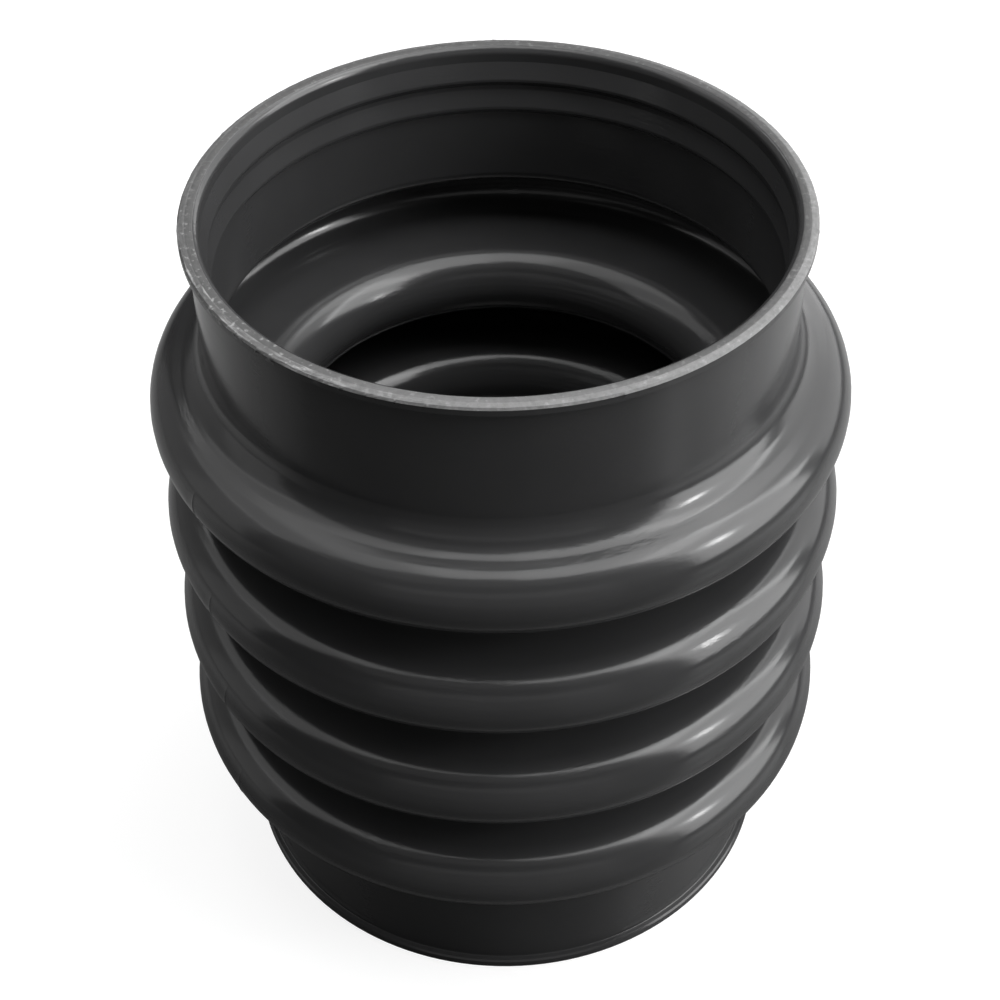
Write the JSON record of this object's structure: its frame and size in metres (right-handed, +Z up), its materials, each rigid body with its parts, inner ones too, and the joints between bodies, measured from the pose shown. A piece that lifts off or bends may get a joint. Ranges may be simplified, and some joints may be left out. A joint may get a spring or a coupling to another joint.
{
  "type": "rubber bellows boot",
  "caption": "Round rubber bellows boot: deep folds with a plain clamping cuff at either end, sealing ribs inside each mouth and a bead round it, covering a sliding joint.",
  "frame": {"origin": "centre of the lower end face, on the boot's axis", "axes": "+Z up along the boot's axis; the boot is round, so +X and +Y are free"},
  "size_m": [0.199, 0.199, 0.232],
  "materials": {
    "black_rubber": "satin moulded rubber"
  },
  "bodies": {
    "root": {"bellows_boot": "black_rubber"}
  },
  "joints": []
}
